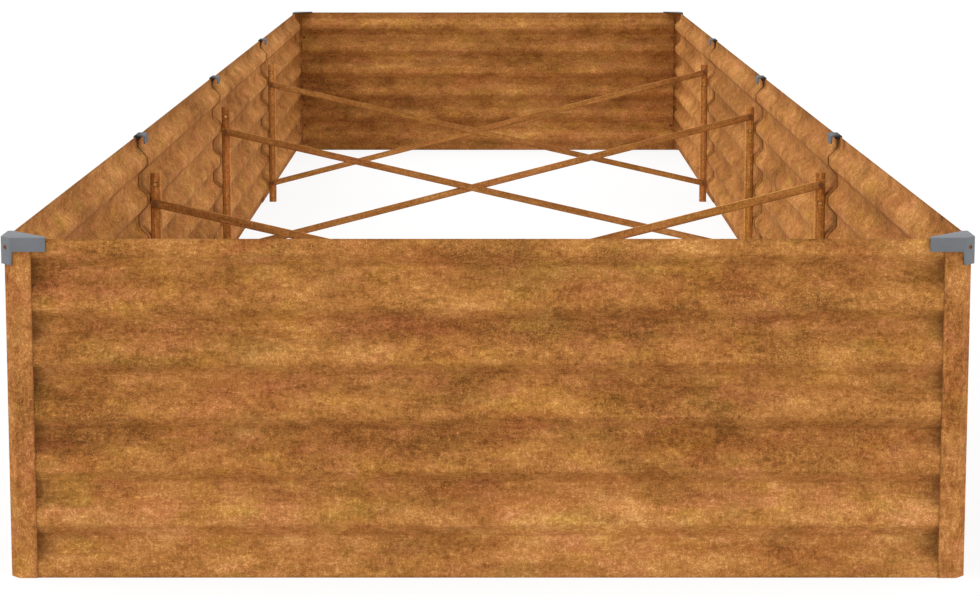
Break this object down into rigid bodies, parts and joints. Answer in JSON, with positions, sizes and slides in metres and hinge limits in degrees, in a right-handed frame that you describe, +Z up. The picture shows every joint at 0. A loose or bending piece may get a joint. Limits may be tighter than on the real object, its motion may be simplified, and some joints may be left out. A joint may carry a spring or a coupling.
{
  "type": "raised garden bed",
  "caption": "Long bottomless raised garden bed of corrugated rust-coloured steel sheets with folded corner posts, plastic caps and rim clips, and crossed bracing bars.",
  "frame": {"origin": "on the ground, under the middle of the bed", "axes": "+X across the bed to its right side, +Y along the bed from the front end to the back end, +Z up"},
  "size_m": [1.0066, 3.7666, 0.3617],
  "materials": {
    "sheet_rust": "mottled rust brown, matt, with horizontal streaks",
    "post_rust": "mottled rust orange, matt",
    "bar_rust": "dark rust brown with lengthwise streaks",
    "bolt_steel": "dark rust-brown coating, satin",
    "cap_plastic": "mid grey moulded plastic, satin"
  },
  "bodies": {
    "root": {"corner_post_back_right": "post_rust", "corner_post_back_left": "post_rust", "corner_post_front_left": "post_rust", "corner_post_front_right": "post_rust", "corner_cap_back_right": "cap_plastic", "corner_cap_back_left": "cap_plastic", "corner_cap_front_left": "cap_plastic", "corner_cap_front_right": "cap_plastic", "sheet_back": "sheet_rust", "sheet_front": "sheet_rust", "sheet_right_1": "sheet_rust", "sheet_right_2": "sheet_rust", "sheet_right_3": "sheet_rust", "sheet_right_4": "sheet_rust", "sheet_left_1": "sheet_rust", "sheet_left_2": "sheet_rust", "sheet_left_3": "sheet_rust", "sheet_left_4": "sheet_rust", "rim_clip_right_1": "cap_plastic", "rim_clip_right_2": "cap_plastic", "rim_clip_right_3": "cap_plastic", "rim_clip_left_1": "cap_plastic", "rim_clip_left_2": "cap_plastic", "rim_clip_left_3": "cap_plastic", "stake_right_1": "bar_rust", "stake_right_2": "bar_rust", "stake_right_3": "bar_rust", "stake_left_1": "bar_rust", "stake_left_2": "bar_rust", "stake_left_3": "bar_rust", "bar_rising_1": "bar_rust", "bar_rising_2": "bar_rust", "bar_rising_3": "bar_rust", "bar_falling_1": "bar_rust", "bar_falling_2": "bar_rust", "bar_falling_3": "bar_rust", "bar_bolt_right_low_1": "bolt_steel", "bar_bolt_right_low_2": "bolt_steel", "bar_bolt_right_low_3": "bolt_steel", "bar_bolt_right_high_1": "bolt_steel", "bar_bolt_right_high_2": "bolt_steel", "bar_bolt_right_high_3": "bolt_steel", "bar_bolt_left_low_1": "bolt_steel", "bar_bolt_left_low_2": "bolt_steel", "bar_bolt_left_low_3": "bolt_steel", "bar_bolt_left_high_1": "bolt_steel", "bar_bolt_left_high_2": "bolt_steel", "bar_bolt_left_high_3": "bolt_steel", "wall_bolt_right_low_1": "bolt_steel", "wall_bolt_right_low_2": "bolt_steel", "wall_bolt_right_low_3": "bolt_steel", "wall_bolt_right_high_1": "bolt_steel", "wall_bolt_right_high_2": "bolt_steel", "wall_bolt_right_high_3": "bolt_steel", "wall_bolt_left_low_1": "bolt_steel", "wall_bolt_left_low_2": "bolt_steel", "wall_bolt_left_low_3": "bolt_steel", "wall_bolt_left_high_1": "bolt_steel", "wall_bolt_left_high_2": "bolt_steel", "wall_bolt_left_high_3": "bolt_steel"}
  },
  "joints": []
}
